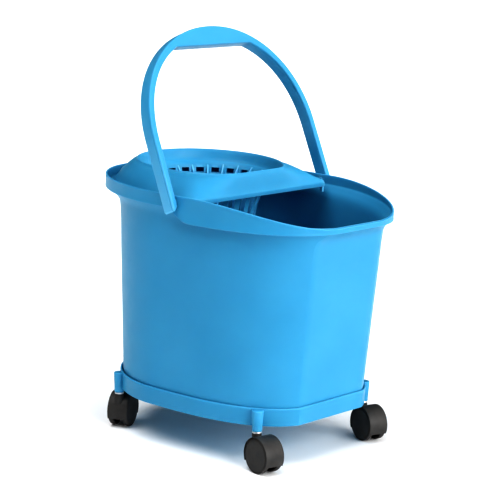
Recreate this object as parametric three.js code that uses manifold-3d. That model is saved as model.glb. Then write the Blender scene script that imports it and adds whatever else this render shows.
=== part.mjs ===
// Mop bucket on casters: bucket, drop-in wringer, swinging handle and a wheel base.
// Millimetres, +Z up, floor at z = 0, flat pouring end at +X, wringer over the round end at -X.
import * as THREE from 'three';
import Module from 'manifold-3d';

const wasm = await Module();
wasm.setup();
const { Manifold, CrossSection } = wasm;

// ---- driving dimensions ----------------------------------------------------

const WALL = 2.2;
const GAP = 0.3;
const BACK_POWER = 1.88;
const SIDE_POWER = 2.97;

// Plan outlines: flat end at x = front (half its width = half), widest (width) at x = mid.
const RIM = { front: 180.8, half: 39.6, width: 130.9, mid: -12.9, back: -180.8 };
const BODY_TOP = { front: 164.7, half: 59.6, width: 121.5, mid: -16, back: -153 };
const BODY_FOOT = { front: 148, half: 56.2, width: 114.9, mid: -22, back: -139.4 };
const TRAY = { front: 151.9, half: 57, width: 118.8, mid: -23.5, back: -143.4 };

const BODY = { foot: 53.5, top: 262 };
const BRIM = { high: 299.2, low: 275, slopeFrom: 37.4, slopePower: 1.87, bandBack: 14.6, bandFront: 5.1, apron: 269.1 };
const APRON = { from: 4, full: 38 };

const BASE = { bottom: 48.6, underside: 51, floor: 53.2, top: 69.2, ribHeight: 2.1 };
const SOCKET = { front: 123, back: -93.8, side: 95.6, bottom: 44, top: 68, low: 5.75, high: 6.9 };
const SOCKET_BORE = { radius: 3.85, top: 62 };

const PIVOT = { x: 16.8, z: 291, hole: 4.6, stud: 4.2 };
const HANDLE = { lean: 23.7, strap: 15.8, outer: 139.2, inner: 131.8, foot: 140.1, footInner: 132.7, tail: -11.4 };
const ARCH = { from: 70.6, rise: 128.4, power: 2.07, innerFrom: 64.6, innerRise: 123, innerPower: 2.2, underside: 176.2 };

const WRINGER = { x: -46.8, lip: 88.6, chord: 76.5, tilt: 0.028, top: 318.4, edge: 36.3, corner: 116.5, inset: 11.6 };
const BASKET = { top: 281, bottom: 187.6, strips: 24, slotTop: 299.4, slotFoot: 196, slotWide: 9.6, slotNarrow: 5.6 };
const CAST = { trail: 14.2, axle: 20, wheel: 20, inner: 5.75, outer: 12.2, hood: 21.2, hoodIn: 20.35 };
const NECK = { radius: 5.5, top: 41.5, bore: 3.85, boreFoot: 26 };
const STEM = { radius: 3.5, foot: 27, top: 61 };
const COLLAR = { low: 41.85, high: 43.65, radius: 5.4 };
const AXLE = { radius: 2.5, half: 10.3 };

// Heading of each caster's trailing side, degrees from +X, as the bucket was parked.
const CASTERS = [
  { name: 'front_left', x: SOCKET.front, y: -SOCKET.side, heading: -11.7 },
  { name: 'front_right', x: SOCKET.front, y: SOCKET.side, heading: -17.4 },
  { name: 'back_left', x: SOCKET.back, y: -SOCKET.side, heading: 114.6 },
  { name: 'back_right', x: SOCKET.back, y: SOCKET.side, heading: 152 },
];

// ---- shared shape helpers --------------------------------------------------

const mixed = (a, b, f) => a + (b - a) * f;
const smooth = (a, b, v) => {
  const f = Math.min(1, Math.max(0, (v - a) / (b - a)));
  return f * f * (3 - 2 * f);
};

// One closed plan loop, counter-clockwise, with the same stations for every outline.
function planLoop(o) {
  const END = 4;
  const SIDE = 10;
  const BACK = 11;
  const reach = (1 - (o.half / o.width) ** SIDE_POWER) ** (1 / SIDE_POWER);
  const span = (o.front - o.mid) / reach;
  const upper = [];
  for (let i = 0; i < SIDE; i += 1) {
    const s = reach * Math.cos((i / SIDE) * Math.PI / 2);
    upper.push([o.mid + span * s, o.width * (1 - s ** SIDE_POWER) ** (1 / SIDE_POWER)]);
  }
  for (let i = 0; i < BACK; i += 1) {
    const t = (i / BACK) * Math.PI / 2;
    const along = Math.sin(t) ** (2 / BACK_POWER);
    upper.push([o.mid - (o.mid - o.back) * along, o.width * Math.cos(t) ** (2 / BACK_POWER)]);
  }
  const lower = upper.map(([x, y]) => [x, -y]).reverse();
  const flat = [];
  for (let i = 1; i < END; i += 1) {
    flat.push([o.front, mixed(-o.half, o.half, i / END)]);
  }
  return [...upper, [o.back, 0], ...lower, ...flat];
}

// Moves a loop outward (or inward for a negative distance) along its own normals.
function offsetLoop(loop, distance) {
  return loop.map((p, i) => {
    const a = loop[(i + loop.length - 1) % loop.length];
    const b = loop[(i + 1) % loop.length];
    const u = [p[0] - a[0], p[1] - a[1]];
    const v = [b[0] - p[0], b[1] - p[1]];
    const lu = Math.hypot(...u);
    const lv = Math.hypot(...v);
    const n = [u[1] / lu + v[1] / lv, -u[0] / lu - v[0] / lv];
    const ln = Math.hypot(...n);
    const mitre = (2 * distance) / ln / ln;
    return [p[0] + n[0] * mitre, p[1] + n[1] * mitre];
  });
}

const level = (loop, z) => loop.map(([x, y]) => [x, y, z]);

function solidOf(points, triangles) {
  const mesh = new wasm.Mesh({
    numProp: 3,
    vertProperties: new Float32Array(points.flat()),
    triVerts: new Uint32Array(triangles.flat()),
  });
  mesh.merge();
  return new Manifold(mesh);
}

// Closed skin through rows of stations, each end closed by a fan about its middle.
function skin(rows) {
  const n = rows[0].length;
  const points = rows.flat();
  const triangles = [];
  for (let i = 0; i + 1 < rows.length; i += 1) {
    for (let j = 0; j < n; j += 1) {
      const a = i * n + j;
      const b = i * n + ((j + 1) % n);
      triangles.push([a, b, b + n], [a, b + n, a + n]);
    }
  }
  const middle = (row) => row.reduce((s, p) => s.map((v, k) => v + p[k] / n), [0, 0, 0]);
  const first = points.length;
  points.push(middle(rows[0]), middle(rows[rows.length - 1]));
  const last = (rows.length - 1) * n;
  for (let j = 0; j < n; j += 1) {
    const k = (j + 1) % n;
    triangles.push([first, k, j], [first + 1, last + j, last + k]);
  }
  return solidOf(points, triangles);
}

const turned = (profile, segments) => Manifold.revolve([profile], segments);
const rod = (radius, z0, z1, segments) => (
  Manifold.cylinder(z1 - z0, radius, radius, segments).translate([0, 0, z0])
);
const block = (x, y, z) => (
  Manifold.cube([x[1] - x[0], y[1] - y[0], z[1] - z[0]]).translate([x[0], y[0], z[0]])
);

// ---- bucket ----------------------------------------------------------------

const rimLoop = planLoop(RIM);
const brimShare = (x) => Math.max(0, (x - BRIM.slopeFrom) / (RIM.front - BRIM.slopeFrom)) ** BRIM.slopePower;
const rimTop = ([x]) => mixed(BRIM.high, BRIM.low, brimShare(x));
const bandFoot = (p) => rimTop(p) - mixed(BRIM.bandBack, BRIM.bandFront, brimShare(p[0]));

// Body wall point of every station at its own height; inset moves to the inner face.
function wallRow(heights, inset) {
  const foot = offsetLoop(planLoop(BODY_FOOT), -inset);
  const top = offsetLoop(planLoop(BODY_TOP), -inset);
  return heights.map((z, i) => {
    const f = (z - BODY.foot) / (BODY.top - BODY.foot);
    return [mixed(foot[i][0], top[i][0], f), mixed(foot[i][1], top[i][1], f), z];
  });
}

// Row that leaves the body wall by the given share and reaches toward the rim outline.
function coveRow(drop, share, inset) {
  const heights = rimLoop.map((p) => bandFoot(p) + drop);
  const wall = wallRow(heights, inset);
  const brim = offsetLoop(rimLoop, -inset);
  return wall.map((p, i) => [mixed(p[0], brim[i][0], share), mixed(p[1], brim[i][1], share), p[2]]);
}

const rimRow = (inset, drop) => offsetLoop(rimLoop, -inset).map(([x, y], i) => (
  [x, y, rimTop(rimLoop[i]) - drop]
));

// Lower edge of the visible band: a short lip at the back, a deep apron along both sides.
const skirtFoot = (p) => {
  const lip = bandFoot(p) - 0.8;
  return Math.min(lip, mixed(lip, BRIM.apron, smooth(APRON.from, APRON.full, p[0])));
};
const skirtRow = (inset, rise, foot) => offsetLoop(rimLoop, -inset).map(([x, y], i) => (
  [x, y, foot(rimLoop[i]) + rise]
));
const flatRow = (z, inset) => wallRow(rimLoop.map(() => z), inset);

function bucketShell() {
  return skin([
    flatRow(BODY.foot, 6),
    flatRow(BODY.foot, 3),
    flatRow(BODY.foot + 1, 0.9),
    flatRow(BODY.foot + 3.2, 0),
    flatRow(150, 0),
    coveRow(-22, 0, 0),
    coveRow(-12, 0.08, 0),
    coveRow(-7.5, 0.26, 0),
    coveRow(-4, 0.5, 0),
    coveRow(-1.6, 0.68, 0),
    coveRow(0, 0.8, 0),
    skirtRow(WALL, 0, bandFoot),
    skirtRow(WALL, 0, skirtFoot),
    skirtRow(0.3, 0, skirtFoot),
    skirtRow(0, 0.5, skirtFoot),
    rimRow(0, 1.1),
    rimRow(0.5, 0.2),
    rimRow(WALL - 0.5, 0.2),
    rimRow(WALL, 1.1),
    skirtRow(WALL, 3.4, bandFoot),
    coveRow(2.2, 0.8, WALL),
    coveRow(0.8, 0.68, WALL),
    coveRow(-1.6, 0.5, WALL),
    coveRow(-5.2, 0.26, WALL),
    coveRow(-10.5, 0.08, WALL),
    coveRow(-22, 0, WALL),
    flatRow(150, WALL),
    flatRow(BODY.foot + 5, WALL),
    flatRow(BODY.foot + 3, WALL + 1),
    flatRow(BODY.foot + WALL, WALL + 3.2),
  ]);
}

function bucket() {
  const hole = rod(PIVOT.hole, -200, 200, 20).rotate([90, 0, 0]).translate([PIVOT.x, 0, PIVOT.z]);
  return bucketShell().subtract(hole);
}

// ---- wheel base ------------------------------------------------------------

function socketSolid(x, y) {
  const post = Manifold.cylinder(SOCKET.top - SOCKET.bottom - 0.8, SOCKET.low, SOCKET.high, 20)
    .translate([x, y, SOCKET.bottom]);
  const cap = Manifold.cylinder(0.8, SOCKET.high, SOCKET.high - 0.8, 20)
    .translate([x, y, SOCKET.top - 0.8]);
  const side = Math.sign(y);
  const toward = (x > 0 ? -124 : -66) * side;
  const web = block([0, 13], [-4.2, 4.2], [BASE.bottom + 1.4, SOCKET.top - 2])
    .rotate([0, 0, toward]).translate([x, y, 0]);
  return post.add(cap).add(web);
}

function wheelBase() {
  const loop = planLoop(TRAY);
  const at = (inset, z) => level(offsetLoop(loop, -inset), z);
  const shell = skin([
    at(3.6, BASE.underside),
    at(2.9, BASE.bottom + 0.2),
    at(2.4, BASE.bottom),
    at(1.1, BASE.bottom),
    at(0.7, BASE.bottom + 0.5),
    at(0, BASE.top - 1.2),
    at(0.5, BASE.top - 0.2),
    at(1.1, BASE.top),
    at(WALL - 0.3, BASE.top - 0.3),
    at(WALL, BASE.top - 1.2),
    at(WALL + 0.7, BASE.floor + 1.6),
    at(WALL + 2.2, BASE.floor),
  ]);
  const inside = skin([at(WALL, BASE.bottom - 1), at(WALL, BASE.top + 5)]);
  let sockets = null;
  for (const c of CASTERS) {
    const one = socketSolid(c.x, c.y);
    sockets = sockets ? sockets.add(one) : one;
  }
  let base = shell.add(sockets.subtract(inside));
  for (const x of [-90, -45, 0, 45, 90]) {
    const half = x > 60 || x < -80 ? 84 : 104;
    base = base.add(block([x - 1, x + 1], [-half, half], [BASE.underside - BASE.ribHeight, BASE.underside + 1]));
  }
  for (const y of [-50, 0, 50]) {
    base = base.add(block([-122, 134], [y - 1, y + 1], [BASE.underside - BASE.ribHeight, BASE.underside + 1]));
  }
  for (const c of CASTERS) {
    base = base.subtract(rod(SOCKET_BORE.radius, SOCKET.bottom - 1, SOCKET_BORE.top, 16).translate([c.x, c.y, 0]));
  }
  return base;
}

// ---- wringer ---------------------------------------------------------------

const STATIONS = 48;

// How far in front of the ring's middle a circle of radius r may reach before the chord cuts it.
const chordLimit = (r) => 61 + (Math.max(r, 61) - 61) * (WRINGER.chord - 61) / (WRINGER.lip - 61);
const reachAlong = (r, a) => (
  Math.cos(a) > 0 ? Math.min(r, chordLimit(r) / Math.cos(a)) : r
);

const circleRow = (r, z) => Array.from({ length: STATIONS }, (_, k) => {
  const a = (k / STATIONS) * 2 * Math.PI;
  return [WRINGER.x + r * Math.cos(a), r * Math.sin(a), z];
});
// Circle tilted a little forward, its front flattened to the chord and softened where they meet.
const lipRow = (r, z) => Array.from({ length: STATIONS }, (_, k) => {
  const a = (k / STATIONS) * 2 * Math.PI;
  const x = -2.5 * Math.log(Math.exp(-r * Math.cos(a) / 2.5) + Math.exp(-chordLimit(r) / 2.5));
  return [WRINGER.x + x, r * Math.sin(a), z - WRINGER.tilt * x];
});

// D-shaped foot of the hood: straight front edge, then along the inside of the brim.
function hoodLoop() {
  const inner = offsetLoop(rimLoop, -WRINGER.inset);
  const half = inner.filter(([x, y]) => x < WRINGER.edge && y >= 0);
  const path = [[WRINGER.edge - 4, WRINGER.corner], ...half.filter(([x]) => x < WRINGER.edge - 8)];
  const lengths = [0];
  for (let i = 1; i < path.length; i += 1) {
    lengths.push(lengths[i - 1] + Math.hypot(path[i][0] - path[i - 1][0], path[i][1] - path[i - 1][1]));
  }
  const along = (d) => {
    let i = 1;
    while (i < path.length - 1 && lengths[i] < d) i += 1;
    const f = (d - lengths[i - 1]) / (lengths[i] - lengths[i - 1]);
    return [mixed(path[i - 1][0], path[i][0], f), mixed(path[i - 1][1], path[i][1], f)];
  };
  const total = lengths[lengths.length - 1];
  const FRONT = 8;
  const upper = [];
  for (let k = 0; k <= STATIONS / 2; k += 1) {
    if (k < FRONT) {
      upper.push([WRINGER.edge, (k / (FRONT - 1)) * (WRINGER.corner - 4)]);
    } else {
      upper.push(along(((k - FRONT) / (STATIONS / 2 - FRONT)) ** 1.05 * total));
    }
  }
  const lower = upper.slice(1, -1).map(([x, y]) => [x, -y]).reverse();
  return [...upper, ...lower];
}

function wringerShell() {
  const foot = hoodLoop();
  const brim = (inset, z) => level(offsetLoop(foot, -inset), z);
  const between = (f, inset, r, z) => {
    const a = lipRow(r, z);
    const b = brim(inset, z);
    return a.map((p, k) => [mixed(p[0], b[k][0], f), mixed(p[1], b[k][1], f), p[2]]);
  };
  const T = WRINGER.top;
  return skin([
    circleRow(36, BASKET.bottom),
    circleRow(40, BASKET.bottom),
    circleRow(41.7, BASKET.bottom + 1.5),
    circleRow(61.2, BASKET.top - 1),
    lipRow(69.4, T - 30.2),
    lipRow(77.2, T - 16.6),
    lipRow(81.2, T - 14),
    lipRow(85.6, T - 3.4),
    between(0.5, WALL + 0.5, 86.4, T - 13.7),
    brim(WALL + 0.6, T - 25.8),
    brim(WALL, T - 27.8),
    brim(WALL, T - 30.4),
    brim(0, T - 30.4),
    brim(0, T - 25.6),
    brim(1.2, T - 23.6),
    between(0.5, 1, 88.4, T - 10.9),
    lipRow(88, T - 1.6),
    lipRow(86.6, T),
    lipRow(85, T - 0.4),
    lipRow(83.8, T - 2),
    lipRow(79, T - 12.6),
    lipRow(76, T - 14.2),
    lipRow(67.3, T - 30),
    circleRow(59, BASKET.top),
    circleRow(39.6, BASKET.bottom + 3.6),
    circleRow(37.5, BASKET.bottom + 2.4),
  ]);
}

// Upright fin that presses the mop, standing on the middle of each strip.
function fin(angle) {
  const at = (r, z) => [reachAlong(r, angle), z];
  const outline = [
    at(33.5, BASKET.slotFoot - 4), at(40.5, BASKET.slotFoot - 4), at(60, BASKET.top),
    at(68.3, WRINGER.top - 30), at(76.4, WRINGER.top - 15.6),
    at(74.2, WRINGER.top - 14.9), at(57.5, BASKET.top + 5.5), at(51, BASKET.top - 4),
  ];
  return Manifold.extrude([outline], 2).translate([0, 0, -1]).rotate([90, 0, 0])
    .rotate([0, 0, THREE.MathUtils.radToDeg(angle)]).translate([WRINGER.x, 0, 0]);
}

// Slot through the basket wall, narrow at its foot and wide just under the ledge.
function slot(angle) {
  const outer = Math.cos(angle) > 0 ? Math.min(77.6, 76 / Math.cos(angle)) : 77.6;
  const ends = [
    [24, 52, BASKET.slotFoot, BASKET.slotNarrow], [46, 66, BASKET.top - 6, BASKET.slotWide - 1],
    [50, outer, BASKET.slotTop, BASKET.slotWide],
  ];
  const corners = ends.flatMap(([near, far, z, wide]) => (
    [[near, -wide / 2, z], [near, wide / 2, z], [far, -wide / 2, z], [far, wide / 2, z]]
  ));
  return Manifold.hull(corners)
    .rotate([0, 0, THREE.MathUtils.radToDeg(angle)]).translate([WRINGER.x, 0, 0]);
}

// Hook under each end of the front edge that drops onto the shoulder of the bucket.
function hook(side) {
  const y = side * (WRINGER.corner - 6);
  return block([WRINGER.edge - 4.6, WRINGER.edge - 0.4], [y - 1.2, y + 1.2],
    [WRINGER.top - 37, WRINGER.top - 27]);
}

function wringer() {
  let body = wringerShell();
  const slots = [];
  const fins = [];
  for (let k = 0; k < BASKET.strips; k += 1) {
    const step = (2 * Math.PI) / BASKET.strips;
    fins.push(fin(k * step));
    slots.push(slot((k + 0.5) * step));
  }
  const drains = [0, 60, 120].map((d) => (
    block([-24, 24], [-2, 2], [BASKET.bottom - 1, BASKET.bottom + 4])
      .rotate([0, 0, d]).translate([WRINGER.x, 0, 0])
  ));
  body = body.subtract(Manifold.union([...slots, ...drains]));
  return body.add(Manifold.union([...fins, hook(1), hook(-1)]));
}

// ---- handle ----------------------------------------------------------------

// Point of an arch of the given half width and rise; t runs from 0 at one foot to pi.
function archPoint(half, rise, power, t) {
  const c = Math.cos(t);
  return [half * Math.sign(c) * Math.abs(c) ** (2 / power), rise * Math.sin(t) ** (2 / power)];
}

function handleOutline() {
  const ARC = 22;
  const outer = [];
  const inner = [];
  for (let i = 0; i <= ARC; i += 1) {
    const t = (i / ARC) * Math.PI;
    const [a, b] = archPoint(HANDLE.outer, ARCH.rise, ARCH.power, t);
    outer.push([a, ARCH.from + b]);
    const [c, d] = archPoint(HANDLE.inner, ARCH.innerRise, ARCH.innerPower, t);
    inner.push([c, Math.min(ARCH.underside, ARCH.innerFrom + d)]);
  }
  return [
    [HANDLE.foot, HANDLE.tail + 2], ...outer, [-HANDLE.foot, HANDLE.tail + 2],
    [-HANDLE.foot + 2, HANDLE.tail], [-HANDLE.footInner, HANDLE.tail + 5],
    ...inner.reverse(), [HANDLE.footInner, HANDLE.tail + 5], [HANDLE.foot - 2, HANDLE.tail],
  ];
}

// Cored-out back of the legs, with a cross rib left every so often.
function handleCore(outline) {
  const inset = new CrossSection([outline]).offset(-2.1, 'Miter');
  const core = Manifold.extrude(inset, HANDLE.strap - 3.2);
  const legs = block([-200, 200], [10, 148], [-1, HANDLE.strap]);
  const ribs = [40, 72, 104, 132].map((h) => block([-200, 200], [h, h + 2], [-1, HANDLE.strap]));
  return core.intersect(legs).subtract(Manifold.union(ribs));
}

function handle() {
  const outline = handleOutline();
  let arch = Manifold.extrude([outline], HANDLE.strap).subtract(handleCore(outline).translate([0, 0, -0.01]));
  arch = arch.translate([0, 0, -HANDLE.strap / 2]);
  const lean = THREE.MathUtils.degToRad(HANDLE.lean);
  const toWorld = new THREE.Matrix4().makeBasis(
    new THREE.Vector3(0, 1, 0),
    new THREE.Vector3(-Math.sin(lean), 0, Math.cos(lean)),
    new THREE.Vector3(Math.cos(lean), 0, Math.sin(lean)),
  );
  for (const side of [-1, 1]) {
    const stud = rod(PIVOT.stud, 127.2, HANDLE.footInner + 1, 20);
    const washer = rod(6.6, RIM.width + GAP + 0.1, HANDLE.footInner + 1, 20);
    arch = arch.add(stud.add(washer).rotate([0, side * 90, 0]));
  }
  return arch.transform(toWorld.toArray()).translate([PIVOT.x, 0, PIVOT.z]);
}

// ---- casters ---------------------------------------------------------------

// Arc in the plane of the wheel, from one angle to another, degrees from the trailing side.
const arcPoints = (radius, from, to, steps) => Array.from({ length: steps + 1 }, (_, i) => {
  const a = THREE.MathUtils.degToRad(mixed(from, to, i / steps));
  return [CAST.trail + radius * Math.cos(a), CAST.axle + radius * Math.sin(a)];
});

// Turns a plate drawn in the wheel's plane (x along the heading, y up) to stand upright.
const upright = (outline, half) => (
  Manifold.extrude([outline], half * 2).translate([0, 0, -half]).rotate([90, 0, 0])
);

function housing() {
  const hood = upright(
    [...arcPoints(CAST.hood, -26, 206, 18), ...arcPoints(CAST.hoodIn, 206, -26, 18)], CAST.outer);
  const web = upright([...arcPoints(CAST.hoodIn + 0.4, -24, 204, 14), ...arcPoints(9, 215, 325, 5)], 5.3);
  const neck = rod(NECK.radius, 30, NECK.top, 20);
  const foot = rod(NECK.radius - 0.25, 24, 31, 20);
  const bore = rod(NECK.bore, NECK.boreFoot, NECK.top + 1, 16);
  const pinHole = rod(AXLE.radius + GAP, -8, 8, 16).rotate([90, 0, 0]).translate([CAST.trail, 0, CAST.axle]);
  return hood.add(web).add(foot).add(neck).subtract(bore).subtract(pinHole);
}

// Wheel turned about its own axle line: flat outer disc, tread, cored inner side, blind hub.
function wheel() {
  const i = CAST.inner;
  const o = CAST.outer;
  const r = CAST.wheel;
  const profile = [
    [AXLE.radius + GAP, i], [5.2, i], [5.2, i + 5], [r - 3, i + 5], [r - 2.4, i],
    [r - 0.9, i], [r, i + 1], [r, o - 1], [r - 1, o], [0, o],
    [0, AXLE.half + GAP], [AXLE.radius + GAP, AXLE.half + GAP],
  ];
  return turned(profile, 24);
}

const axlePin = () => {
  const h = AXLE.half;
  const r = AXLE.radius;
  return turned([[0, -h], [r - 0.4, -h], [r, -h + 0.5], [r, h - 0.5], [r - 0.4, h], [0, h]], 12);
};
const stem = () => turned([
  [0, STEM.foot], [STEM.radius - 0.6, STEM.foot], [STEM.radius, STEM.foot + 0.8],
  [STEM.radius, STEM.top - 1.2], [STEM.radius - 0.9, STEM.top], [0, STEM.top],
], 12);
const collar = () => turned([
  [STEM.radius + GAP, COLLAR.low], [COLLAR.radius - 0.3, COLLAR.low],
  [COLLAR.radius, COLLAR.high - 0.4], [STEM.radius + GAP, COLLAR.high],
], 16);

// ---- assembly --------------------------------------------------------------

const COLOURS = {
  blue: new THREE.MeshStandardMaterial({ color: 0x2b9fdc, roughness: 0.45 }),
  black: new THREE.MeshStandardMaterial({ color: 0x2a2928, roughness: 0.6 }),
  steel: new THREE.MeshStandardMaterial({ color: 0xc2c6ca, roughness: 0.3, metalness: 1 }),
};

const group = new THREE.Group();
group.name = 'mop_bucket_with_wringer';

function place(name, solid, colour) {
  const mesh = solid.getMesh();
  const geometry = new THREE.BufferGeometry();
  geometry.setAttribute('position', new THREE.BufferAttribute(new Float32Array(mesh.vertProperties), 3));
  geometry.setIndex([...mesh.triVerts]);
  geometry.computeVertexNormals();
  const node = new THREE.Mesh(geometry, COLOURS[colour]);
  node.name = name;
  group.add(node);
}

place('wheel_base', wheelBase(), 'blue');
place('bucket', bucket(), 'blue');
place('wringer', wringer(), 'blue');
place('handle', handle(), 'blue');

for (const c of CASTERS) {
  const park = (solid) => solid.rotate([0, 0, c.heading]).translate([c.x, c.y, 0]);
  const onAxle = (solid, flip) => solid.rotate([flip ? 90 : -90, 0, 0]).translate([CAST.trail, 0, CAST.axle]);
  place(`stem_${c.name}`, park(stem()), 'steel');
  place(`collar_${c.name}`, park(collar()), 'steel');
  place(`housing_${c.name}`, park(housing()), 'black');
  place(`axle_${c.name}`, park(onAxle(axlePin(), false)), 'steel');
  place(`wheel_${c.name}_a`, park(onAxle(wheel(), false)), 'black');
  place(`wheel_${c.name}_b`, park(onAxle(wheel(), true)), 'black');
}

export default group;
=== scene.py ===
import math

import bpy
from mathutils import Matrix, Vector


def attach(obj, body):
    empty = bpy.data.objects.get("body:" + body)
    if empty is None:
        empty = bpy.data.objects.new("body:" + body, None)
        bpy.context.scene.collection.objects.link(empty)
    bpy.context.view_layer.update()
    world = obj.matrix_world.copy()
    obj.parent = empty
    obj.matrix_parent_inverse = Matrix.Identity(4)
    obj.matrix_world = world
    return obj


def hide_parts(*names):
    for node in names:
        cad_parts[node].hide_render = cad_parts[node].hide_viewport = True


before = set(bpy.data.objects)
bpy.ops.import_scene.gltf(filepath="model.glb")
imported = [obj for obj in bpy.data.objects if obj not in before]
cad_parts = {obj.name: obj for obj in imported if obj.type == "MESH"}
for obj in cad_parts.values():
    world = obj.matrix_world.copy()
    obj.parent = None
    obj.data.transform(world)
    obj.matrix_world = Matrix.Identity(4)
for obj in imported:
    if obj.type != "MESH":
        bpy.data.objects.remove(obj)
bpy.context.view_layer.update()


# ---- Camera, light and floor ----
# A long lens a little above the bucket looks past its flat corner, rolled slightly as a hand-held shot is.
# Four wide lamps light it from the window side, the backdrop, overhead and the front, and the pale
# paper floor runs on past the frame.

CAMERA_AROUND = math.radians(40.91)
CAMERA_ABOVE = math.radians(11.14)
CAMERA_ROLL = math.radians(-2.19)
CAMERA_AWAY = 2.2634
CAMERA_AIM = Vector((0.0174, 0.0027, 0.2206))
CAMERA_LENS = 139.4

back = Vector((
    math.sin(CAMERA_AROUND) * math.cos(CAMERA_ABOVE),
    -math.cos(CAMERA_AROUND) * math.cos(CAMERA_ABOVE),
    math.sin(CAMERA_ABOVE),
))
level_right = Vector((math.cos(CAMERA_AROUND), math.sin(CAMERA_AROUND), 0))
level_up = back.cross(level_right)
rolled_right = level_right * math.cos(CAMERA_ROLL) - level_up * math.sin(CAMERA_ROLL)
rolled_up = level_right * math.sin(CAMERA_ROLL) + level_up * math.cos(CAMERA_ROLL)

camera_data = bpy.data.cameras.new("camera")
camera_data.lens = CAMERA_LENS
camera_data.sensor_width = 36
camera_data.clip_end = 60
camera = bpy.data.objects.new("camera", camera_data)
camera.matrix_world = Matrix.Translation(CAMERA_AIM + back * CAMERA_AWAY) @ Matrix((
    (rolled_right.x, rolled_up.x, back.x, 0),
    (rolled_right.y, rolled_up.y, back.y, 0),
    (rolled_right.z, rolled_up.z, back.z, 0),
    (0, 0, 0, 1),
))
bpy.context.collection.objects.link(camera)
bpy.context.scene.camera = camera
bpy.context.scene.view_settings.view_transform = "Standard"
bpy.context.scene.view_settings.look = "Very High Contrast"


def soft_lamp(name, around, above, strength, spread):
    """A sun with a wide disc, so its shadows have no hard edge."""
    data = bpy.data.lights.new(name, "SUN")
    data.energy = strength
    data.angle = math.radians(spread)
    lamp = bpy.data.objects.new(name, data)
    a, e = math.radians(around), math.radians(above)
    toward = Vector((math.sin(a) * math.cos(e), -math.cos(a) * math.cos(e), math.sin(e)))
    lamp.rotation_euler = toward.to_track_quat("Z", "Y").to_euler()
    bpy.context.collection.objects.link(lamp)


soft_lamp("window_lamp", around=86, above=24, strength=1.95, spread=45)
soft_lamp("backdrop_glow", around=134, above=18, strength=1.3, spread=90)
soft_lamp("overhead_lamp", around=350, above=70, strength=1.75, spread=50)
soft_lamp("fill_lamp", around=30, above=38, strength=0.22, spread=80)

studio = bpy.data.worlds.new("studio")
studio.use_nodes = True
studio.node_tree.nodes["Background"].inputs["Color"].default_value = (1.0, 1.0, 1.0, 1)
studio.node_tree.nodes["Background"].inputs["Strength"].default_value = 0.06
bpy.context.scene.world = studio


def mesh_piece(name, points_mm, faces, sharp=38):
    """A mesh object from millimetre points, smooth except where faces meet sharply."""
    mesh = bpy.data.meshes.new(name)
    mesh.from_pydata([(x / 1000, y / 1000, z / 1000) for x, y, z in points_mm], [], faces)
    mesh.validate()
    mesh.polygons.foreach_set("use_smooth", [True] * len(mesh.polygons))
    mesh.set_sharp_from_angle(angle=math.radians(sharp))
    piece = bpy.data.objects.new(name, mesh)
    bpy.context.collection.objects.link(piece)
    return piece


paper = bpy.data.materials.new("paper_floor")
paper.use_nodes = True
paper.node_tree.nodes["Principled BSDF"].inputs["Base Color"].default_value = (0.95, 0.95, 0.95, 1)
paper.node_tree.nodes["Principled BSDF"].inputs["Roughness"].default_value = 0.9
floor = mesh_piece("floor", [(-2e4, -2e4, 0), (2e4, -2e4, 0), (2e4, 2e4, 0), (-2e4, 2e4, 0)], [(0, 1, 2, 3)])
floor.data.materials.append(paper)


# ---- Wheel base ----
# A shallow polypropylene tray the bucket drops into, with a turned-over lip, cross ribs underneath
# and four caster sockets that stand outside the wall on short webs. One injection moulding.

TRAY = {"front": 151.9, "half": 57, "width": 118.8, "mid": -23.5, "back": -143.4}
TRAY_BOTTOM, TRAY_UNDERSIDE, TRAY_FLOOR, TRAY_TOP = 48.6, 51.0, 53.2, 69.2
SOCKET_PLACES = {
    "front_left": (123, -95.6, 124), "front_right": (123, 95.6, -124),
    "back_left": (-93.8, -95.6, 66), "back_right": (-93.8, 95.6, -66),
}
SOCKET_BOTTOM, SOCKET_TOP = 44.0, 68.0


def mixed(a, b, share):
    return a + (b - a) * share


def eased(start, end, value):
    share = min(1.0, max(0.0, (value - start) / (end - start)))
    return share * share * (3 - 2 * share)


def plan_loop(outline, end=12, side=40, back_steps=44):
    """Closed plan of the bucket family: flat end, fuller sides and a rounded back."""
    side_power, back_power = 2.97, 1.88
    reach = (1 - (outline["half"] / outline["width"]) ** side_power) ** (1 / side_power)
    span = (outline["front"] - outline["mid"]) / reach
    upper = []
    for i in range(side):
        s = reach * math.cos(i / side * math.pi / 2)
        upper.append((
            outline["mid"] + span * s,
            outline["width"] * (1 - s ** side_power) ** (1 / side_power)))
    for i in range(back_steps):
        t = i / back_steps * math.pi / 2
        along = math.sin(t) ** (2 / back_power)
        upper.append((
            mixed(outline["mid"], outline["back"], along),
            outline["width"] * math.cos(t) ** (2 / back_power)))
    lower = [(x, -y) for x, y in reversed(upper)]
    flat = [(outline["front"], mixed(-outline["half"], outline["half"], i / end)) for i in range(1, end)]
    return upper + [(outline["back"], 0)] + lower + flat


def offset_loop(loop, outward):
    """The same loop moved along its own normals."""
    moved = []
    for i, (x, y) in enumerate(loop):
        ax, ay = loop[i - 1]
        bx, by = loop[(i + 1) % len(loop)]
        first, second = math.hypot(x - ax, y - ay), math.hypot(bx - x, by - y)
        nx = (y - ay) / first + (by - y) / second
        ny = -(x - ax) / first - (bx - x) / second
        mitre = 2 * outward / (nx * nx + ny * ny)
        moved.append((x + nx * mitre, y + ny * mitre))
    return moved


def at_height(loop, z):
    return [(x, y, z) for x, y in loop]


def faired(rows, steps):
    """Extra rows between the given ones on a smooth curve that passes through them all."""
    made = []
    for k in range(len(rows) - 1):
        four = [rows[max(k - 1, 0)], rows[k], rows[k + 1], rows[min(k + 2, len(rows) - 1)]]
        for s in range(steps):
            share = s / steps
            made.append([curve_point(*points, share) for points in zip(*four)])
    return made + [rows[-1]]


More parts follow.
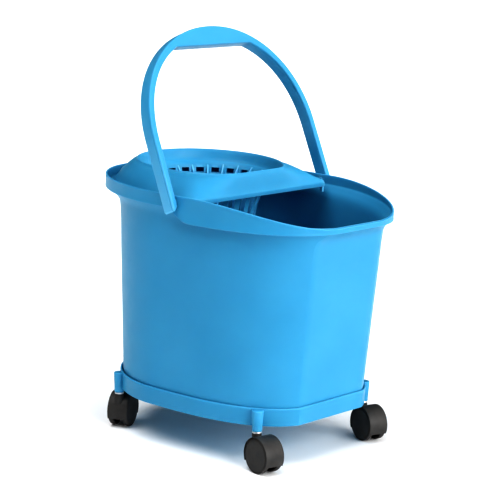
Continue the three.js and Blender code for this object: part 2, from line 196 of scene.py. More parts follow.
def curve_point(before, start, end, after, share):
    """Point between start and end on a curve whose slopes follow the neighbours' spacing."""
    before, start, end, after = Vector(before), Vector(start), Vector(end), Vector(after)
    d0 = max((start - before).length, 1e-6) ** 0.5
    d1 = max((end - start).length, 1e-6) ** 0.5
    d2 = max((after - end).length, 1e-6) ** 0.5
    m1 = end - start
    m2 = end - start
    if (start - before).length > 1e-5:
        m1 = d1 * ((start - before) / d0 - (end - before) / (d0 + d1) + (end - start) / d1)
    if (after - end).length > 1e-5:
        m2 = d1 * ((end - start) / d1 - (after - start) / (d1 + d2) + (after - end) / d2)
    s2, s3 = share * share, share * share * share
    point = start * (2 * s3 - 3 * s2 + 1) + m1 * (s3 - 2 * s2 + share)
    return tuple(point + end * (3 * s2 - 2 * s3) + m2 * (s3 - s2))


def stacked(name, rows, wrap=False, sharp=38):
    """Closed body through rows of points: capped at both ends, or joined round to the first row."""
    count = len(rows[0])
    faces = []
    for k in range(len(rows) if wrap else len(rows) - 1):
        low, high = k * count, (k + 1) % len(rows) * count
        for j in range(count):
            n = (j + 1) % count
            faces.append((low + j, low + n, high + n, high + j))
    if not wrap:
        faces.append(tuple(reversed(range(count))))
        faces.append(tuple(range((len(rows) - 1) * count, len(rows) * count)))
    return mesh_piece(name, [p for row in rows for p in row], faces, sharp)


def circle(radius, z, steps=48):
    return [(radius * math.cos(2 * math.pi * k / steps), radius * math.sin(2 * math.pi * k / steps), z)
            for k in range(steps)]


def turned(name, profile, wrap=False, steps=48):
    """Lathe work: (radius, height) points, capped where they end or joined round as a ring."""
    return stacked(name, [circle(r, z, steps) for r, z in profile], wrap)


def bar(name, x, y, z, edge=0.4):
    """A rib or block with its edges taken off."""
    def ring(inset, height):
        x0, x1, y0, y1 = x[0] + inset, x[1] - inset, y[0] + inset, y[1] - inset
        return [(x0, y0, height), (x1, y0, height), (x1, y1, height), (x0, y1, height)]
    return stacked(name, [ring(edge, z[0]), ring(0, z[0] + edge), ring(0, z[1] - edge), ring(edge, z[1])])


def placed(piece, turn=0.0, at=(0, 0, 0), tip=None):
    """Moves a piece's points: tips it over first if asked, turns it about Z, then shifts it (mm)."""
    move = Matrix.Translation(Vector(at) / 1000) @ Matrix.Rotation(math.radians(turn), 4, "Z")
    piece.data.transform(move @ tip if tip else move)
    return piece


def cut_or_join(piece, other, how):
    """Boolean with another piece, which is used up."""
    step = piece.modifiers.new(how, "BOOLEAN")
    step.operation = how
    step.solver = "MANIFOLD"
    step.object = other
    bpy.context.view_layer.update()
    result = bpy.data.meshes.new_from_object(piece.evaluated_get(bpy.context.evaluated_depsgraph_get()))
    piece.modifiers.clear()
    old = piece.data
    piece.data = result
    bpy.data.meshes.remove(old)
    bpy.data.objects.remove(other)
    result.polygons.foreach_set("use_smooth", [True] * len(result.polygons))
    result.set_sharp_from_angle(angle=math.radians(38))
    return piece


def gathered(pieces):
    """Several bodies kept as one piece."""
    points, faces = [], []
    for p in pieces:
        base = len(points)
        points += [tuple(v.co * 1000) for v in p.data.vertices]
        faces += [tuple(base + i for i in f.vertices) for f in p.data.polygons]
        name = pieces[0].name
    for p in pieces:
        bpy.data.objects.remove(p)
    return mesh_piece(name, points, faces)


def sky_blue_plastic():
    """Polypropylene coloured in the melt: soft depth, a faint mottle and a satin skin."""
    material = bpy.data.materials.new("sky_blue_polypropylene")
    material.use_nodes = True
    nodes, links = material.node_tree.nodes, material.node_tree.links
    shader = nodes["Principled BSDF"]
    shader.inputs["Subsurface Weight"].default_value = 0.25
    shader.inputs["Subsurface Radius"].default_value = (0.15, 0.6, 1.0)
    shader.inputs["Subsurface Scale"].default_value = 0.004
    shader.inputs["Specular IOR Level"].default_value = 0.22
    place = nodes.new("ShaderNodeTexCoord")

    mottle = nodes.new("ShaderNodeTexNoise")
    mottle.inputs["Scale"].default_value = 14
    mottle.inputs["Detail"].default_value = 6
    pigment = nodes.new("ShaderNodeValToRGB")
    pigment.color_ramp.elements[0].position = 0.3
    pigment.color_ramp.elements[0].color = (0.048, 0.264, 0.44, 1)
    pigment.color_ramp.elements[1].position = 0.72
    pigment.color_ramp.elements[1].color = (0.058, 0.288, 0.47, 1)
    links.new(place.outputs["Object"], mottle.inputs["Vector"])
    links.new(mottle.outputs["Fac"], pigment.inputs["Fac"])

    # Painted highlight: thin convex edges are painted paler than the flat walls. This stands in for the bright
    # lines that light through the thin plastic, and light off the lamps, gives them.
    shape = nodes.new("ShaderNodeNewGeometry")
    edges = nodes.new("ShaderNodeMapRange")
    edges.inputs["From Min"].default_value = 0.52
    edges.inputs["From Max"].default_value = 0.62
    edges.inputs["To Max"].default_value = 0.55
    # The pale blue mixed in here is a painted highlight on the edges, not a colour of the plastic.
    painted_highlight_mix = nodes.new("ShaderNodeMix")
    painted_highlight_mix.data_type = "RGBA"
    painted_highlight_mix.inputs["B"].default_value = (0.22, 0.58, 0.86, 1)
    links.new(shape.outputs["Pointiness"], edges.inputs["Value"])
    links.new(edges.outputs["Result"], painted_highlight_mix.inputs["Factor"])
    links.new(pigment.outputs["Color"], painted_highlight_mix.inputs["A"])
    links.new(painted_highlight_mix.outputs["Result"], shader.inputs["Base Color"])

    handling = nodes.new("ShaderNodeTexNoise")
    handling.inputs["Scale"].default_value = 55
    handling.inputs["Detail"].default_value = 8
    handling.inputs["Roughness"].default_value = 0.65
    satin = nodes.new("ShaderNodeMapRange")
    satin.inputs["From Min"].default_value = 0.3
    satin.inputs["From Max"].default_value = 0.7
    satin.inputs["To Min"].default_value = 0.36
    satin.inputs["To Max"].default_value = 0.47
    links.new(place.outputs["Object"], handling.inputs["Vector"])
    links.new(handling.outputs["Fac"], satin.inputs["Value"])
    links.new(satin.outputs["Result"], shader.inputs["Roughness"])

    skin = nodes.new("ShaderNodeTexNoise")
    skin.inputs["Scale"].default_value = 900
    skin.inputs["Detail"].default_value = 3
    ripple = nodes.new("ShaderNodeTexNoise")
    ripple.inputs["Scale"].default_value = 38
    ripple.inputs["Detail"].default_value = 2
    fine = nodes.new("ShaderNodeBump")
    fine.inputs["Strength"].default_value = 0.06
    fine.inputs["Distance"].default_value = 0.0002
    broad = nodes.new("ShaderNodeBump")
    broad.inputs["Strength"].default_value = 0.06
    broad.inputs["Distance"].default_value = 0.0008
    links.new(place.outputs["Object"], skin.inputs["Vector"])
    links.new(place.outputs["Object"], ripple.inputs["Vector"])
    links.new(skin.outputs["Fac"], fine.inputs["Height"])
    links.new(ripple.outputs["Fac"], broad.inputs["Height"])
    links.new(broad.outputs["Normal"], fine.inputs["Normal"])
    links.new(fine.outputs["Normal"], shader.inputs["Normal"])
    return material


sky_blue = sky_blue_plastic()


def finished(piece, material, slot, body, *nodes):
    """Gives a piece its material, ties it to the body and hides the plain parts it stands for."""
    piece.data.materials.clear()
    piece.data.materials.append(material)
    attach(piece, body)
    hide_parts(*nodes)


tray_loop = plan_loop(TRAY)


def tray_row(inset, z):
    return at_height(offset_loop(tray_loop, -inset), z)


tray = stacked("wheel_base_moulding", [
    tray_row(3.6, TRAY_UNDERSIDE), tray_row(2.9, TRAY_BOTTOM + 0.4), tray_row(2.5, TRAY_BOTTOM + 0.05),
    tray_row(1.3, TRAY_BOTTOM), tray_row(0.9, TRAY_BOTTOM + 0.25), tray_row(0.7, TRAY_BOTTOM + 0.8),
    tray_row(0.12, TRAY_TOP - 3), tray_row(0, TRAY_TOP - 2.4), tray_row(0, TRAY_TOP - 0.9),
    tray_row(0.15, TRAY_TOP - 0.4), tray_row(0.5, TRAY_TOP - 0.08), tray_row(0.9, TRAY_TOP),
    tray_row(1.7, TRAY_TOP - 0.02), tray_row(2.05, TRAY_TOP - 0.3), tray_row(2.2, TRAY_TOP - 0.9),
    tray_row(2.9, TRAY_FLOOR + 1.6), tray_row(3.4, TRAY_FLOOR + 0.5), tray_row(4.4, TRAY_FLOOR),
])
recess = stacked("recess", [tray_row(2.2, TRAY_BOTTOM - 1), tray_row(2.2, TRAY_TOP + 5)])
sockets = None
for x, y, toward in SOCKET_PLACES.values():
    post = turned("post", [
        (5.3, SOCKET_BOTTOM), (5.75, SOCKET_BOTTOM + 0.5), (6.1, 52), (6.9, SOCKET_TOP - 1.4),
        (6.75, SOCKET_TOP - 0.6), (6.2, SOCKET_TOP - 0.1), (5.6, SOCKET_TOP),
    ])
    web = placed(bar("web", (0, 13), (-4.2, 4.2), (TRAY_BOTTOM + 1.4, SOCKET_TOP - 2), 0.6), toward)
    socket = placed(cut_or_join(post, web, "UNION"), 0, (x, y, 0))
    sockets = cut_or_join(sockets, socket, "UNION") if sockets else socket
tray = cut_or_join(tray, cut_or_join(sockets, recess, "DIFFERENCE"), "UNION")
for x in (-90, -45, 0, 45, 90):
    half = 84 if x > 60 or x < -80 else 104
    rib = bar("rib", (x - 1, x + 1), (-half, half), (TRAY_UNDERSIDE - 2.1, TRAY_UNDERSIDE + 1), 0.3)
    tray = cut_or_join(tray, rib, "UNION")
for y in (-50, 0, 50):
    rib = bar("rib", (-122, 134), (y - 1, y + 1), (TRAY_UNDERSIDE - 2.1, TRAY_UNDERSIDE + 1), 0.3)
    tray = cut_or_join(tray, rib, "UNION")
for x, y, toward in SOCKET_PLACES.values():
    bore = placed(turned("bore", [(3.85, SOCKET_BOTTOM - 1), (3.85, 62)]), 0, (x, y, 0))
    tray = cut_or_join(tray, bore, "DIFFERENCE")
finished(tray, sky_blue, "blue_plastic", "base", "wheel_base")


# ---- Casters ----
# Twin-wheel furniture casters in black nylon: a hood that wraps both wheels, a neck on a plated steel
# stem pushed up into the socket, a thin plated collar between them, and a steel pin through the wheels.

CASTER_HEADINGS = {"front_left": -11.7, "front_right": -17.4, "back_left": 114.6, "back_right": 152.0}
TRAIL, AXLE_HEIGHT, WHEEL_RADIUS = 14.2, 20.0, 20.0
WHEEL_INNER, WHEEL_OUTER = 5.75, 12.2
HOOD_OUT, HOOD_IN = 21.2, 20.35
LAY_DOWN = Matrix.Rotation(math.radians(90), 4, "X")


def black_nylon():
    """Spark-textured nylon: near black, fine grain, dulled a little by dust."""
    material = bpy.data.materials.new("black_nylon")
    material.use_nodes = True
    nodes, links = material.node_tree.nodes, material.node_tree.links
    shader = nodes["Principled BSDF"]
    place = nodes.new("ShaderNodeTexCoord")
    dust = nodes.new("ShaderNodeTexNoise")
    dust.inputs["Scale"].default_value = 70
    dust.inputs["Detail"].default_value = 7
    tone = nodes.new("ShaderNodeValToRGB")
    tone.color_ramp.elements[0].position = 0.35
    tone.color_ramp.elements[0].color = (0.026, 0.0245, 0.023, 1)
    tone.color_ramp.elements[1].position = 0.75
    tone.color_ramp.elements[1].color = (0.050, 0.047, 0.044, 1)
    grain = nodes.new("ShaderNodeTexNoise")
    grain.inputs["Scale"].default_value = 1500
    grain.inputs["Detail"].default_value = 4
    relief = nodes.new("ShaderNodeBump")
    relief.inputs["Strength"].default_value = 0.065
    relief.inputs["Distance"].default_value = 0.0002
    dulled = nodes.new("ShaderNodeMapRange")
    dulled.inputs["To Min"].default_value = 0.45
    dulled.inputs["To Max"].default_value = 0.66
    links.new(place.outputs["Object"], dust.inputs["Vector"])
    links.new(place.outputs["Object"], grain.inputs["Vector"])
    links.new(dust.outputs["Fac"], tone.inputs["Fac"])
    links.new(tone.outputs["Color"], shader.inputs["Base Color"])
    links.new(dust.outputs["Fac"], dulled.inputs["Value"])
    links.new(dulled.outputs["Result"], shader.inputs["Roughness"])
    links.new(grain.outputs["Fac"], relief.inputs["Height"])
    links.new(relief.outputs["Normal"], shader.inputs["Normal"])
    return material


def plated_steel():
    """Bright zinc plate with the fine rings that turning leaves."""
    material = bpy.data.materials.new("plated_steel")
    material.use_nodes = True
    nodes, links = material.node_tree.nodes, material.node_tree.links
    shader = nodes["Principled BSDF"]
    shader.inputs["Metallic"].default_value = 1.0
    place = nodes.new("ShaderNodeTexCoord")
    stretched = nodes.new("ShaderNodeMapping")
    stretched.inputs["Scale"].default_value = (60, 60, 2400)
    rings = nodes.new("ShaderNodeTexNoise")
    rings.inputs["Scale"].default_value = 1.0
    rings.inputs["Detail"].default_value = 4
    tone = nodes.new("ShaderNodeValToRGB")
    tone.color_ramp.elements[0].color = (0.62, 0.63, 0.64, 1)
    tone.color_ramp.elements[1].color = (0.82, 0.83, 0.84, 1)
    worn = nodes.new("ShaderNodeMapRange")
    worn.inputs["To Min"].default_value = 0.2
    worn.inputs["To Max"].default_value = 0.42
    links.new(place.outputs["Object"], stretched.inputs["Vector"])
    links.new(stretched.outputs["Vector"], rings.inputs["Vector"])
    links.new(rings.outputs["Fac"], tone.inputs["Fac"])
    links.new(tone.outputs["Color"], shader.inputs["Base Color"])
    links.new(rings.outputs["Fac"], worn.inputs["Value"])
    links.new(worn.outputs["Result"], shader.inputs["Roughness"])
    return material


nylon = black_nylon()
steel = plated_steel()


def hood_arc(radius, start, end, steps):
    """Arc about the axle, degrees from the trailing side, drawn in the wheel's own plane."""
    angles = [math.radians(mixed(start, end, k / steps)) for k in range(steps + 1)]
    return [(TRAIL + radius * math.cos(a), AXLE_HEIGHT + radius * math.sin(a)) for a in angles]


def upright_plate(name, outline, half, edge):
    """A plate standing in the wheel's plane, its edges rounded over."""
    rows = [at_height(offset_loop(outline, -edge), -half),
            at_height(offset_loop(outline, -edge * 0.3), -half + edge * 0.3),
            at_height(outline, -half + edge), at_height(outline, half - edge),
            at_height(offset_loop(outline, -edge * 0.3), half - edge * 0.3),
            at_height(offset_loop(outline, -edge), half)]
    return placed(stacked(name, rows), tip=LAY_DOWN)


def caster_housing(name):
    hood = upright_plate(
        "hood", hood_arc(HOOD_OUT, -26, 206, 64) + hood_arc(HOOD_IN, 206, -26, 64), WHEEL_OUTER, 0.25)
    web = upright_plate("web", hood_arc(HOOD_IN + 0.5, -24, 204, 48) + hood_arc(9, 215, 325, 12), 5.3, 0.3)
    neck = turned("neck", [
        (4.8, 24), (5.25, 24.5), (5.25, 30), (5.5, 31), (5.5, 40.9), (5.3, 41.3), (4.9, 41.5)])
    body = cut_or_join(cut_or_join(hood, web, "UNION"), neck, "UNION")
    body = cut_or_join(body, turned("stem_hole", [(3.85, 26), (3.85, 43)]), "DIFFERENCE")
    pin_hole = placed(turned("pin_hole", [(2.8, -8), (2.8, 8)]), 0, (TRAIL, 0, AXLE_HEIGHT), LAY_DOWN)
    body = cut_or_join(body, pin_hole, "DIFFERENCE")
    body.name = name
    return body


def caster_wheel(name, side):
    """Disc face with a shallow rim groove outside, tread, and a cored inner side round a blind hub."""
    i, o, r = WHEEL_INNER, WHEEL_OUTER, WHEEL_RADIUS
    wheel = turned(name, [
        (2.8, 10.6), (2.8, i), (5.0, i), (5.2, i + 0.3), (5.3, i + 5), (r - 3.2, i + 5), (r - 2.6, i + 0.4),
        (r - 2.3, i), (r - 1.2, i), (r - 0.35, i + 0.4), (r, i + 1.4), (r, o - 1.3), (r - 0.3, o - 0.6),
        (r - 0.9, o - 0.2), (r - 1.3, o - 0.25), (r - 1.5, o - 0.7), (r - 1.9, o - 0.7), (r - 2.1, o - 0.15),
        (r - 2.6, o), (12.0, o - 0.05), (6.0, o - 0.12), (1.0, o - 0.15),
    ], steps=96)
    flip = Matrix.Rotation(math.radians(-90 if side == "a" else 90), 4, "X")
    return placed(wheel, 0, (TRAIL, 0, AXLE_HEIGHT), flip)


for corner, heading in CASTER_HEADINGS.items():
    spot = SOCKET_PLACES[corner][:2] + (0,)
    swivel = "swivel_" + corner
    housing = placed(caster_housing("caster_housing_" + corner), heading, spot)
    finished(housing, nylon, "black_plastic", swivel, "housing_" + corner)
    for side in "ab":
        wheel = placed(caster_wheel(f"caster_wheel_{corner}_{side}", side), heading, spot)
        finished(wheel, nylon, "black_plastic", f"wheel_{corner}_{side}", f"wheel_{corner}_{side}")
    collar = placed(turned("stem_collar_" + corner, [
        (3.8, 41.85), (5.1, 41.85), (5.35, 42.1), (5.4, 42.6), (5.35, 43.2), (5.1, 43.6),
        (3.8, 43.65)], True), 0, spot)
    finished(collar, steel, "steel", "base", "collar_" + corner)
    stem = placed(turned("stem_pin_" + corner, [
        (2.9, 27), (3.5, 27.8), (3.5, 31), (3.1, 31.4), (3.1, 32.6), (3.5, 33),
        (3.5, 59.8), (2.6, 61)]), 0, spot)
    finished(stem, steel, "steel", "base", "stem_" + corner)
    pin = turned("wheel_pin_" + corner, [(2.1, -10.3), (2.5, -9.8), (2.5, 9.8), (2.1, 10.3)])
    pin = placed(placed(pin, 0, (TRAIL, 0, AXLE_HEIGHT), LAY_DOWN), heading, spot)
    finished(pin, steel, "steel", swivel, "axle_" + corner)


# ---- Bucket ----
# One thin-walled polypropylene moulding: drafted oval body with a flat pouring end, a shoulder that
# steps out to an upright band, and an apron that hangs from the band along both sides.

RIM = {"front": 180.8, "half": 39.6, "width": 130.9, "mid": -12.9, "back": -180.8}
BODY_TOP = {"front": 164.7, "half": 59.6, "width": 121.5, "mid": -16, "back": -153}
BODY_FOOT = {"front": 148, "half": 56.2, "width": 114.9, "mid": -22, "back": -139.4}
FOOT_HEIGHT, TOP_HEIGHT = 53.5, 262.0
RIM_HIGH, RIM_LOW, RIM_SLOPES_FROM, RIM_SLOPE_POWER = 299.2, 275.0, 37.4, 1.87
BAND_BACK, BAND_FRONT = 14.6, 5.1
APRON_HEIGHT, APRON_FROM, APRON_FULL = 269.1, 4, 38
BUCKET_WALL = 2.2
PIVOT_X, PIVOT_Z = 16.8, 291.0

rim_loop = plan_loop(RIM)


def brim_share(x):
    return max(0.0, (x - RIM_SLOPES_FROM) / (RIM["front"] - RIM_SLOPES_FROM)) ** RIM_SLOPE_POWER


def rim_top(x):
    return mixed(RIM_HIGH, RIM_LOW, brim_share(x))


def band_foot(x):
    return rim_top(x) - mixed(BAND_BACK, BAND_FRONT, brim_share(x))


def apron_foot(x):
    lip = band_foot(x) - 0.8
    return min(lip, mixed(lip, APRON_HEIGHT, eased(APRON_FROM, APRON_FULL, x)))


def wall_row(heights, inset):
    """Body wall at each station's own height, following the draft."""
    foot = offset_loop(plan_loop(BODY_FOOT), -inset)
    top = offset_loop(plan_loop(BODY_TOP), -inset)
    row = []
    for (fx, fy), (tx, ty), z in zip(foot, top, heights):
        share = (z - FOOT_HEIGHT) / (TOP_HEIGHT - FOOT_HEIGHT)
        row.append((mixed(fx, tx, share), mixed(fy, ty, share), z))
    return row


def flat_row(z, inset):
    return wall_row([z] * len(rim_loop), inset)


def cove_row(rise, share, inset):
    """Row that has left the body wall by a share of the way out to the rim."""
    wall = wall_row([band_foot(x) + rise for x, y in rim_loop], inset)
    brim = offset_loop(rim_loop, -inset)
    return [(mixed(x, bx, share), mixed(y, by, share), z) for (x, y, z), (bx, by) in zip(wall, brim)]


def brim_row(inset, height, rise):
    return [
        (x, y, height(station[0]) + rise)
        for (x, y), station in zip(offset_loop(rim_loop, -inset), rim_loop)]


outside = faired([
    flat_row(FOOT_HEIGHT, 4.4), flat_row(FOOT_HEIGHT + 0.25, 2.6), flat_row(FOOT_HEIGHT + 1.2, 0.9),
    flat_row(FOOT_HEIGHT + 3.2, 0.05), flat_row(80, 0), flat_row(150, 0), flat_row(215, 0),
    cove_row(-22, 0, 0), cove_row(-12, 0.08, 0), cove_row(-7.5, 0.26, 0), cove_row(-4, 0.5, 0),
    cove_row(-1.6, 0.68, 0), cove_row(0, 0.8, 0),
], 3)
lip = [
    brim_row(BUCKET_WALL + 0.1, band_foot, 0.35), brim_row(BUCKET_WALL, band_foot, 0),
    brim_row(BUCKET_WALL, apron_foot, 0.3), brim_row(BUCKET_WALL - 0.3, apron_foot, 0.05),
    brim_row(0.7, apron_foot, 0),
    brim_row(0.25, apron_foot, 0.12), brim_row(0, apron_foot, 0.5), brim_row(0, apron_foot, 1.3),
    brim_row(0.15, apron_foot, 1.9),
    brim_row(0.1, rim_top, -3.2), brim_row(0, rim_top, -2.4), brim_row(0, rim_top, -1.1),
    brim_row(0.18, rim_top, -0.5),
    brim_row(0.6, rim_top, -0.2), brim_row(BUCKET_WALL - 0.7, rim_top, -0.2),
    brim_row(BUCKET_WALL - 0.2, rim_top, -0.5),
]
inside = faired([
    brim_row(BUCKET_WALL, rim_top, -1.1), brim_row(BUCKET_WALL + 0.3, band_foot, 6),
    brim_row(BUCKET_WALL + 0.6, band_foot, 3.6),
    cove_row(2.2, 0.8, BUCKET_WALL), cove_row(0.8, 0.68, BUCKET_WALL), cove_row(-1.6, 0.5, BUCKET_WALL),
    cove_row(-5.2, 0.26, BUCKET_WALL), cove_row(-10.5, 0.08, BUCKET_WALL), cove_row(-22, 0, BUCKET_WALL),
    flat_row(215, BUCKET_WALL), flat_row(150, BUCKET_WALL), flat_row(80, BUCKET_WALL),
    flat_row(FOOT_HEIGHT + 6, BUCKET_WALL), flat_row(FOOT_HEIGHT + 3.2, BUCKET_WALL + 0.9),
    flat_row(FOOT_HEIGHT + BUCKET_WALL + 0.1, BUCKET_WALL + 4),
], 3)
bucket = stacked("bucket_moulding", outside + lip + inside)
across = placed(turned("pivot_hole", [(4.6, -200), (4.6, 200)]), 0, (PIVOT_X, 0, PIVOT_Z), LAY_DOWN)
bucket = cut_or_join(bucket, across, "DIFFERENCE")
finished(bucket, sky_blue, "blue_plastic", "bucket", "bucket")


# ---- Handle ----
# A stiff arched strap moulded in the same blue: deeper at the grip with a flat underside, cored out
# behind the legs, and held by a stud on each leg that snaps through the brim.

HANDLE_LEAN = math.radians(23.7)
STRAP = 15.8
LEG_OUT, LEG_IN, FOOT_OUT, FOOT_IN, TAIL = 139.2, 131.8, 140.1, 132.7, -11.4
ARCH_FROM, ARCH_RISE, ARCH_POWER = 70.6, 128.4, 2.07
INNER_FROM, INNER_RISE, GRIP_UNDERSIDE, INNER_POWER = 64.6, 123.0, 176.2, 2.2


def arch_point(half_width, rise, power, turn):
    """Point of a flattened arch; turn runs from 0 at one foot to pi at the other."""
    c = math.copysign(abs(math.cos(turn)) ** (2 / power), math.cos(turn))
    return half_width * c, rise * max(0.0, math.sin(turn)) ** (2 / power)


def handle_outline(steps=96):
    outer, inner = [], []
    for k in range(steps + 1):
        t = k / steps * math.pi
        across, up = arch_point(LEG_OUT, ARCH_RISE, ARCH_POWER, t)
        outer.append((across, ARCH_FROM + up))
        across, up = arch_point(LEG_IN, INNER_RISE, INNER_POWER, t)
        inner.append((across, min(GRIP_UNDERSIDE, INNER_FROM + up)))
    return ([(FOOT_OUT, TAIL + 2)] + outer
            + [(-FOOT_OUT, TAIL + 2), (-FOOT_OUT + 2, TAIL), (-FOOT_IN, TAIL + 5)]
            + inner[::-1] + [(FOOT_IN, TAIL + 5), (FOOT_OUT - 2, TAIL)])


strap_line = handle_outline()
half = STRAP / 2
strap_rows = [(-half, 0.8), (-half + 0.25, 0.25), (-half + 0.9, 0), (half - 3.4, 0), (half - 3.1, 0.3),
              (half - 2.6, 0.3),
              (half - 2.3, 0), (half - 1.5, 0), (half - 0.6, 0.35), (half - 0.15, 0.9), (half, 1.6)]
handle = stacked("handle_moulding", [
    at_height(offset_loop(strap_line, -inset), depth) for depth, inset in strap_rows])
for low, high in ((10, 40), (42, 72), (74, 104), (106, 132), (134, 148)):
    core = stacked("core", [
        at_height(offset_loop(strap_line, -2.1), -half - 1),
        at_height(offset_loop(strap_line, -2.1), half - 3.2)])
    window = bar("window", (-200, 200), (low, high), (-half - 2, half), 0.0)
    handle = cut_or_join(handle, cut_or_join(core, window, "INTERSECT"), "DIFFERENCE")
for side in (-1, 1):
    stud = turned("stud", [
        (3.6, 127.3), (4.2, 128.1), (4.2, 131.4), (6.3, 131.4), (6.6, 131.6), (6.6, 133.6)])
    stud = placed(stud, tip=Matrix.Rotation(math.radians(90 * side), 4, "Y"))
    handle = cut_or_join(handle, stud, "UNION")
sin, cos = math.sin(HANDLE_LEAN), math.cos(HANDLE_LEAN)
stand = Matrix(((0, -sin, cos, 0), (1, 0, 0, 0), (0, cos, sin, 0), (0, 0, 0, 1)))
handle = placed(handle, 0, (PIVOT_X, 0, PIVOT_Z), stand)
handle.data.set_sharp_from_angle(angle=math.radians(38))
finished(handle, sky_blue, "blue_plastic", "handle", "handle")


# ---- Wringer ----
# A drop-in moulding that rests on the bucket's shoulder: sloping hood with a straight front edge,
# a round funnel, and a tapering basket of upright strips, each with a fin that presses the mop.

FUNNEL_X, FUNNEL_TOP, LIP_RADIUS, CHORD, TILT = -46.8, 318.4, 88.6, 76.5, 0.028
HOOD_EDGE, HOOD_CORNER, HOOD_INSET = 36.3, 116.5, 11.6
BASKET_TOP, BASKET_BOTTOM, STRIPS = 281.0, 187.6, 24
SLOT_TOP, SLOT_FOOT, SLOT_WIDE, SLOT_NARROW = 299.4, 196.0, 9.6, 5.6
AROUND = 192


def chord_limit(radius):
    """How far forward a circle of this radius may reach before the funnel's flat front cuts it."""
    return 61 + (max(radius, 61) - 61) * (CHORD - 61) / (LIP_RADIUS - 61)


def reach_along(radius, angle):
    return min(radius, chord_limit(radius) / math.cos(angle)) if math.cos(angle) > 0 else radius


def round_row(radius, z):
    return [(FUNNEL_X + x, y, z) for x, y, z in circle(radius, z, AROUND)]


def lip_row(radius, z):
    """Circle tilted a little forward and flattened to the chord at the front, softened at both ends."""
    row = []
    for x, y, _ in circle(radius, z, AROUND):
        x = -2.5 * math.log(math.exp(-x / 2.5) + math.exp(-chord_limit(radius) / 2.5))
        row.append((FUNNEL_X + x, y, z - TILT * x))
    return row


def hood_loop():
    """D-shaped foot: straight front edge, rounded corners, then along the inside of the brim."""
    inner = offset_loop(rim_loop, -HOOD_INSET)
    path = [(HOOD_EDGE - 4, HOOD_CORNER)] + [p for p in inner if p[0] < HOOD_EDGE - 8 and p[1] >= 0]
    lengths = [0.0]
    for a, b in zip(path, path[1:]):
        lengths.append(lengths[-1] + math.dist(a, b))
    front = AROUND // 2 // 3
    upper = []
    for k in range(AROUND // 2 + 1):
        if k < front:
            upper.append((HOOD_EDGE, k / (front - 1) * (HOOD_CORNER - 4)))
            continue
        reach = ((k - front) / (AROUND // 2 - front)) ** 1.05 * lengths[-1]
        i = next(n for n in range(1, len(path)) if lengths[n] >= reach - 1e-9)
        share = (reach - lengths[i - 1]) / (lengths[i] - lengths[i - 1])
        upper.append((mixed(path[i - 1][0], path[i][0], share), mixed(path[i - 1][1], path[i][1], share)))
    return upper + [(x, -y) for x, y in upper[-2:0:-1]]


hood_line = hood_loop()


def hood_row(inset, z):
    return at_height(offset_loop(hood_line, -inset), z)


def slope_row(share, inset, radius, z):
    return [(mixed(x, hx, share), mixed(y, hy, share), low)
            for (x, y, low), (hx, hy, _) in zip(lip_row(radius, z), hood_row(inset, z))]


T = FUNNEL_TOP
under = faired([
    round_row(40, BASKET_BOTTOM), round_row(41.7, BASKET_BOTTOM + 1.5), round_row(51.5, 236),
    round_row(61.2, BASKET_TOP - 1),
    lip_row(69.4, T - 30.2), lip_row(77.2, T - 16.6), lip_row(81.2, T - 14), lip_row(85.6, T - 3.4),
    slope_row(0.5, 2.7, 86.4, T - 13.7), hood_row(2.8, T - 25.8), hood_row(2.2, T - 27.8),
], 3)
edge = [hood_row(2.2, T - 30.4), hood_row(0.3, T - 30.4), hood_row(0, T - 30), hood_row(0, T - 26.4)]
over = faired([
    hood_row(0.1, T - 25.6), hood_row(0.9, T - 24.2), slope_row(0.75, 1, 88.2, T - 17.4),
    slope_row(0.5, 1, 88.2, T - 11.2),
    slope_row(0.2, 1, 88.2, T - 4.6), lip_row(88, T - 1.7), lip_row(87, T - 0.3),
    lip_row(85.6, T - 0.2), lip_row(84.2, T - 1.5),
    lip_row(79.2, T - 12.4), lip_row(76.4, T - 14.2), lip_row(73.4, T - 17), lip_row(67.3, T - 30),
    round_row(59, BASKET_TOP), round_row(49.4, 236), round_row(39.6, BASKET_BOTTOM + 3.6),
    round_row(37.5, BASKET_BOTTOM + 2.4),
], 3)
wringer = stacked("wringer_moulding", under + edge + over)


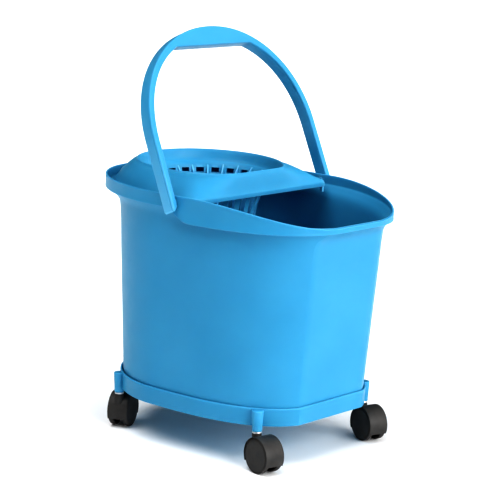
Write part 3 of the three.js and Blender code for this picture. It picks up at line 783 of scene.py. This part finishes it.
def fin_plate(angle):
    """Upright fin on one strip, its top sloping in from the funnel."""
    outline = [(reach_along(r, angle), z) for r, z in (
        (33.5, SLOT_FOOT - 4), (40.5, SLOT_FOOT - 4), (60, BASKET_TOP), (68.3, T - 30), (76.4, T - 15.6),
        (74.2, T - 14.9), (57.5, BASKET_TOP + 5.5), (51, BASKET_TOP - 4))]
    rows = [at_height(offset_loop(outline, -0.3), -1), at_height(outline, -0.7), at_height(outline, 0.7),
            at_height(offset_loop(outline, -0.3), 1)]
    return placed(stacked("fin", rows), math.degrees(angle), (FUNNEL_X, 0, 0), LAY_DOWN)


def slot_tool(angle):
    """Wedge that opens a strip gap: narrow at its foot, wide just under the ledge."""
    far = min(77.6, 76 / math.cos(angle)) if math.cos(angle) > 0 else 77.6
    rows = [[(near, -wide / 2, z), (out, -wide / 2, z), (out, wide / 2, z), (near, wide / 2, z)]
            for near, out, z, wide in ((24, 52, SLOT_FOOT, SLOT_NARROW), (46, 66, BASKET_TOP - 6, SLOT_WIDE - 1),
                                       (50, far, SLOT_TOP, SLOT_WIDE))]
    return placed(stacked("slot", rows), math.degrees(angle), (FUNNEL_X, 0, 0))


slots = []
fins = []
for k in range(STRIPS):
    slots.append(slot_tool(math.radians(360 / STRIPS * (k + 0.5))))
    fins.append(fin_plate(math.radians(360 / STRIPS * k)))
wringer = cut_or_join(wringer, gathered(slots), "DIFFERENCE")
for turn in (0, 60, 120):
    drain = placed(
        bar("drain", (-24, 24), (-2, 2), (BASKET_BOTTOM - 1, BASKET_BOTTOM + 5), 0.0),
        turn, (FUNNEL_X, 0, 0))
    wringer = cut_or_join(wringer, drain, "DIFFERENCE")
for side in (-1, 1):
    y = side * (HOOD_CORNER - 6)
    hook = bar("hook", (HOOD_EDGE - 4.6, HOOD_EDGE - 0.4), (y - 1.2, y + 1.2), (T - 37, T - 27), 0.3)
    fins.append(hook)
wringer = gathered([wringer] + fins)
finished(wringer, sky_blue, "blue_plastic", "wringer", "wringer")
